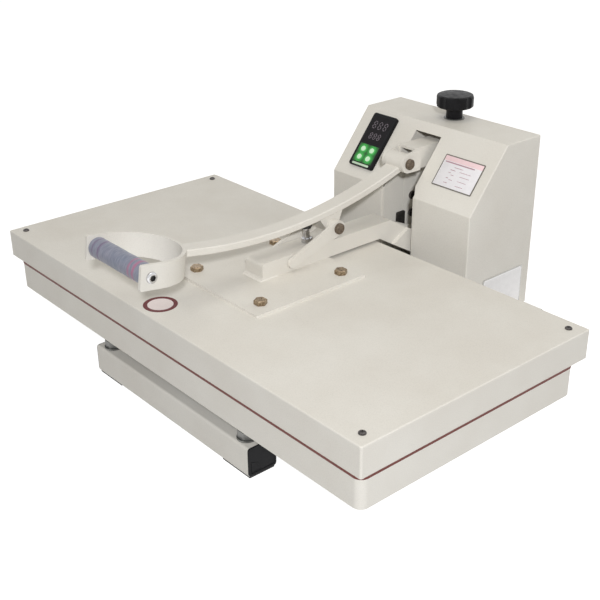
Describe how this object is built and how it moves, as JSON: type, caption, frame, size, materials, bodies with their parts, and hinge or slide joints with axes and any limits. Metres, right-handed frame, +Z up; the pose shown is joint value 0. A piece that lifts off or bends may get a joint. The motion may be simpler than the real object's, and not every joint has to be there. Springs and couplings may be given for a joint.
{
  "type": "heat press",
  "caption": "Large-format clamshell fusing press with a flat heat platen, toggle lever, pressure knob and slope-fronted control column",
  "frame": {"origin": "On the floor under the middle of the press's outline, midway along its length and its depth, with the lever shut", "axes": "+X runs along the platen to the operator's right, +Y away from the operator towards the column, +Z up from the floor"},
  "size_m": [0.84, 0.7028, 0.378],
  "materials": {
    "painted_cream": "semi-gloss ivory powder coat with a faint orange-peel texture",
    "painted_black": "black painted steel",
    "bare_steel": "plain zinc-plated steel",
    "chrome": "bright chrome plate",
    "brass_bolts": "yellow passivated bolts, slightly dulled",
    "platen_aluminium": "machined aluminium plate",
    "black_plastic": "moulded black plastic with a fine grain",
    "window_glass": "clear smoked window",
    "keypad_green": "green printed membrane, left bare",
    "key_ivory": "ivory moulded keys",
    "switch_red": "red moulded rocker",
    "plate_silver": "thin printed aluminium sheet, left bare",
    "black_rubber": "matt black rubber",
    "silicone": "red-brown silicone sheet",
    "foam": "closed-cell foam sleeve with a mottled face",
    "blanket": "felted ceramic fibre"
  },
  "bodies": {
    "frame": {"table_foot_bars": "painted_cream", "rear_foot_bar": "painted_cream", "base_rails": "painted_cream", "table_pan": "painted_cream", "column_shell": "painted_cream", "column_back_panel": "painted_cream", "cheek_plates": "painted_cream", "screw_plate": "painted_cream", "panel_screws": "painted_black", "table_channels": "bare_steel", "column_base_plate": "bare_steel", "cheek_bolts": "bare_steel", "hinge_shaft": "bare_steel", "knob_washer": "bare_steel", "table_studs": "chrome", "bar_end_plugs": "black_plastic", "controller_case": "black_plastic", "switch_housing": "black_plastic", "cable_gland": "black_plastic", "display_window": "window_glass", "keypad": "keypad_green", "instruction_plate": "plate_silver", "rating_plate": "plate_silver", "foot_pads": "black_rubber", "stop_bumper": "black_rubber", "silicone_pad": "silicone"},
    "upper_platen": {"swing_arm": "painted_cream", "hinge_plates": "painted_cream", "hinge_sleeve": "bare_steel", "lower_link_pin": "bare_steel", "centre_plate": "painted_cream", "plate_bolts": "brass_bolts", "upper_cover": "painted_cream", "cover_screws": "chrome", "heat_platen": "platen_aluminium", "heating_element": "bare_steel", "insulation_blanket": "blanket", "platen_standoffs": "bare_steel"},
    "pressure_block": {"pressure_arm": "painted_cream", "pivot_ears": "painted_cream", "pivot_bolt": "brass_bolts", "guide_block": "painted_cream"},
    "knob": {"pressure_knob": "black_plastic", "pressure_screw": "chrome"},
    "lever": {"lever_arm": "painted_cream", "lever_lug": "painted_cream", "stop_bolt": "chrome", "stop_nut": "painted_black", "handle_strap": "painted_cream", "grip_rod": "bare_steel", "handle_grip": "foam", "grip_screws": "chrome"},
    "link": {"link_plates": "painted_cream", "link_bolt": "brass_bolts"},
    "mode_key": {"mode_key": "key_ivory"},
    "select_key": {"select_key": "key_ivory"},
    "down_key": {"down_key": "key_ivory"},
    "up_key": {"up_key": "key_ivory"},
    "switch_rocker": {"switch_rocker": "switch_red"}
  },
  "joints": [
    {"name": "platen_hinge", "type": "hinge", "parent": "frame", "child": "upper_platen", "pos_m": [0, 0.2809, 0.115], "axis": [-1, 0, 0], "range_deg": [0, 28]},
    {"name": "knob_turn", "type": "hinge", "parent": "frame", "child": "knob", "pos_m": [0, 0.3079, 0.338], "axis": [0, 0, 1], "range_deg": [0, 1080]},
    {"name": "pressure_slide", "type": "slide", "parent": "frame", "child": "pressure_block", "axis": [0, 0, 1], "range_m": [0, 0.006]},
    {"name": "lever_pivot", "type": "hinge", "parent": "pressure_block", "child": "lever", "pos_m": [0, 0.1804, 0.2915], "axis": [-1, 0, 0], "range_deg": [0, 73.93]},
    {"name": "link_pivot", "type": "hinge", "parent": "lever", "child": "link", "pos_m": [0, 0.02741, 0.22529], "axis": [-1, 0, 0], "range_deg": [-105.97, 0]},
    {"name": "mode_key_press", "type": "slide", "parent": "frame", "child": "mode_key", "axis": [0, 0.7803, -0.6254], "range_m": [0, 0.0008], "stiffness_N_per_m": 400},
    {"name": "select_key_press", "type": "slide", "parent": "frame", "child": "select_key", "axis": [0, 0.7803, -0.6254], "range_m": [0, 0.0008], "stiffness_N_per_m": 400},
    {"name": "down_key_press", "type": "slide", "parent": "frame", "child": "down_key", "axis": [0, 0.7803, -0.6254], "range_m": [0, 0.0008], "stiffness_N_per_m": 400},
    {"name": "up_key_press", "type": "slide", "parent": "frame", "child": "up_key", "axis": [0, 0.7803, -0.6254], "range_m": [0, 0.0008], "stiffness_N_per_m": 400},
    {"name": "rocker_tilt", "type": "hinge", "parent": "frame", "child": "switch_rocker", "pos_m": [-0.092, 0.3374, 0.104], "axis": [-1, 0, 0], "range_deg": [0, 18]}
  ],
  "couplings": [
    {"joint": "lever_pivot", "follows": "platen_hinge", "ratio": 2.6334},
    {"joint": "link_pivot", "follows": "platen_hinge", "ratio": -3.7776},
    {"joint": "knob_turn", "follows": "pressure_slide", "rad_per_m": 3141.6}
  ]
}
